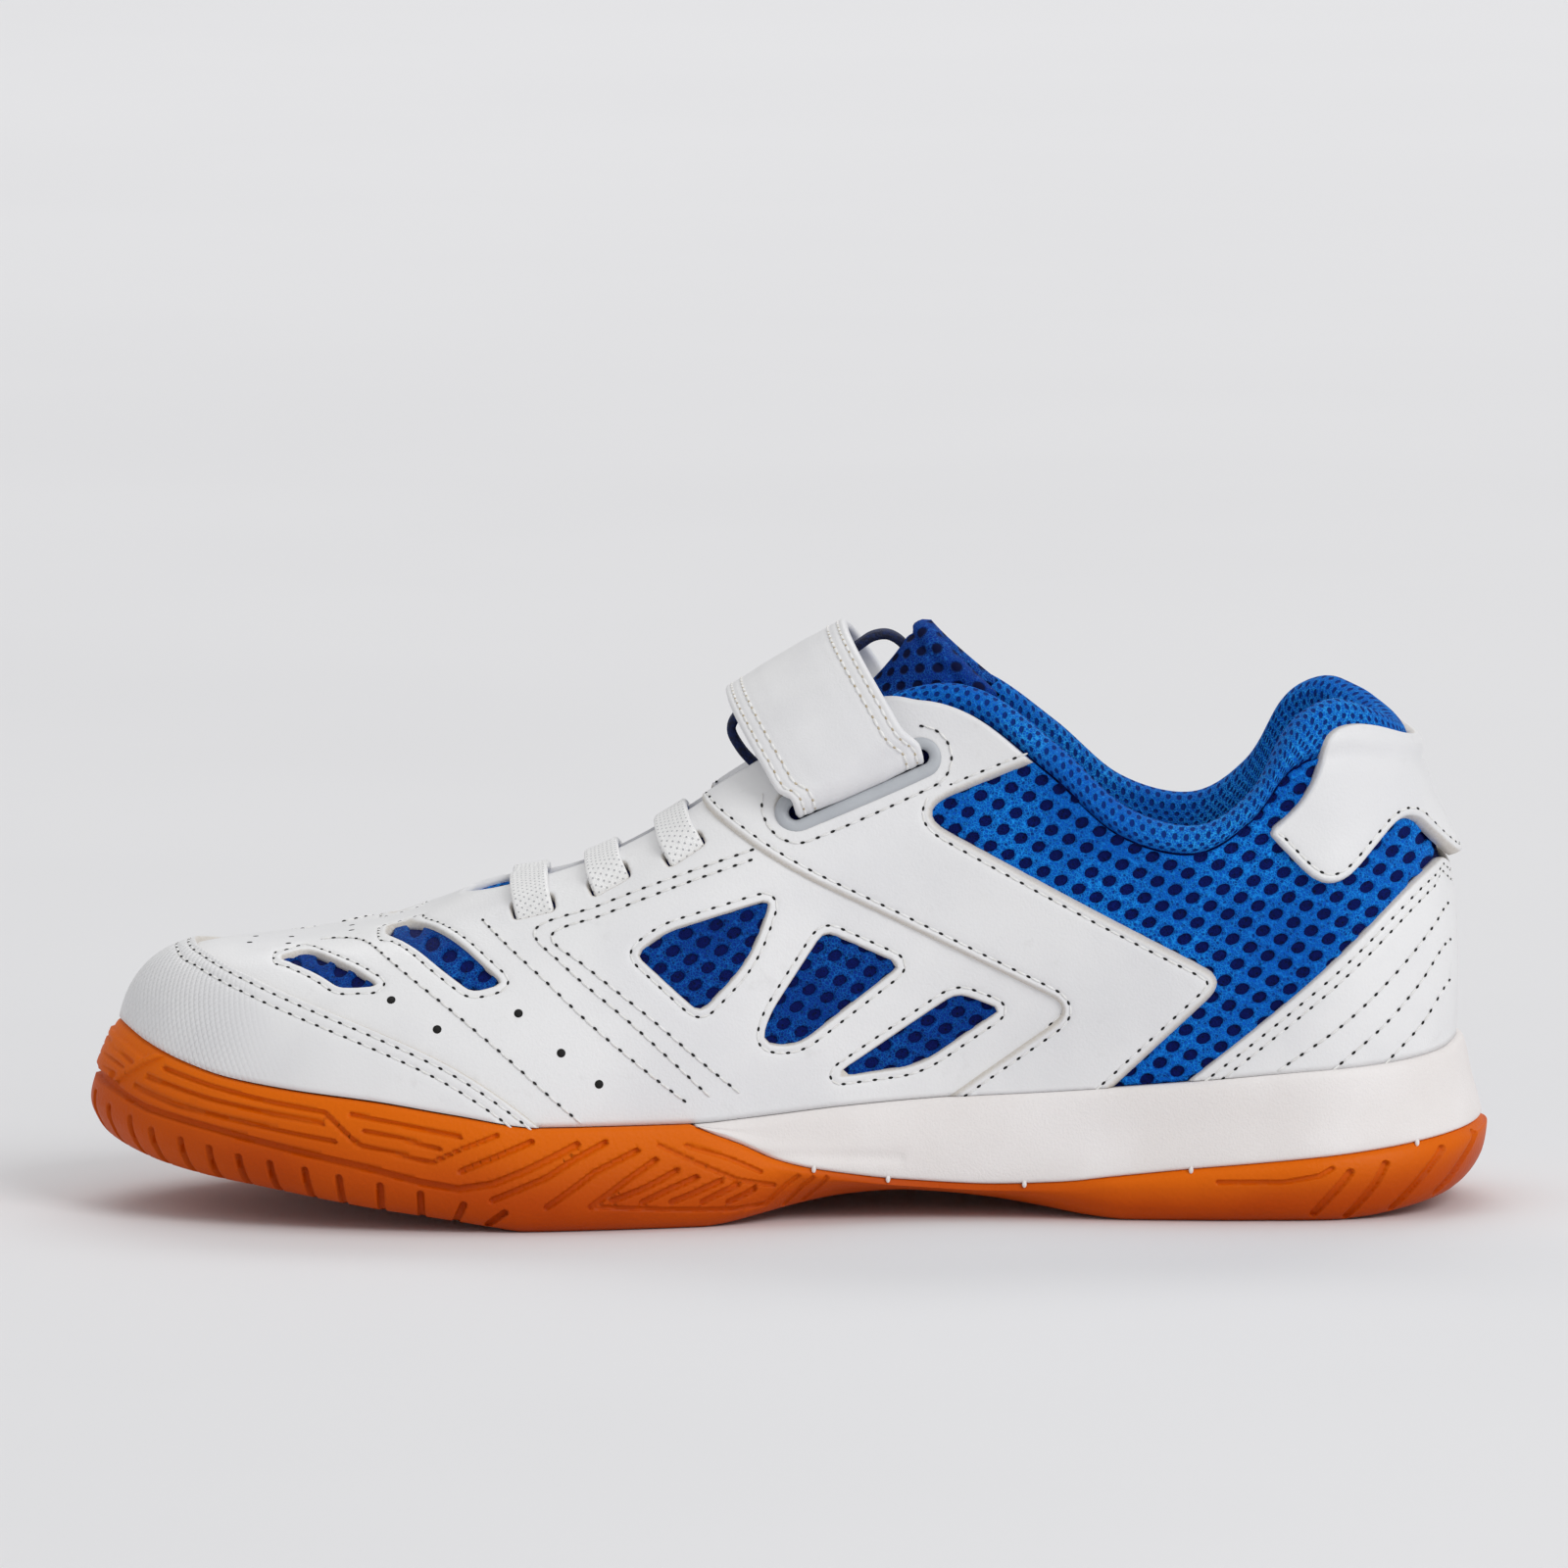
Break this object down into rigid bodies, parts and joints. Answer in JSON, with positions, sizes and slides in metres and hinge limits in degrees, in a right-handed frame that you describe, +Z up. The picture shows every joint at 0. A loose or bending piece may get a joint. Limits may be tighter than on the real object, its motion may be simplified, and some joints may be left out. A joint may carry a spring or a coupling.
{
  "type": "table tennis shoe",
  "caption": "Low junior indoor court shoe for the right foot, mesh upper with white panels, elastic lace bars, an instep strap, foam wedge and gum rubber cup sole.",
  "frame": {"origin": "middle of the shoe's box, on the floor under the sole", "axes": "+X from heel to toe, +Y to the inner side of the foot, +Z up"},
  "size_m": [0.2357, 0.089, 0.0993],
  "materials": {
    "gum_rubber": "satin gum rubber",
    "white_foam": "matte moulded foam",
    "footbed_foam": "cloth-covered foam",
    "blue_mesh": "open spacer mesh",
    "blue_padding": "padded knit",
    "white_leather": "smooth coated synthetic leather",
    "grey_plastic": "satin moulded plastic",
    "white_webbing": "coated strap with stitched edges",
    "white_elastic": "flat woven elastic",
    "navy_webbing": "woven tape"
  },
  "bodies": {
    "root": {"outsole": "gum_rubber", "midsole": "white_foam", "insole": "footbed_foam", "upper": "blue_mesh", "tongue": "blue_padding", "front_panel": "white_leather", "toe_cap": "white_leather", "saddle_inner": "white_leather", "saddle_outer": "white_leather", "heel_counter": "white_leather", "heel_tab": "white_leather", "strap_ring": "grey_plastic", "strap": "white_webbing", "elastic_lace_1": "white_elastic", "elastic_lace_2": "white_elastic", "elastic_lace_3": "white_elastic", "tongue_loop": "navy_webbing"}
  },
  "joints": []
}
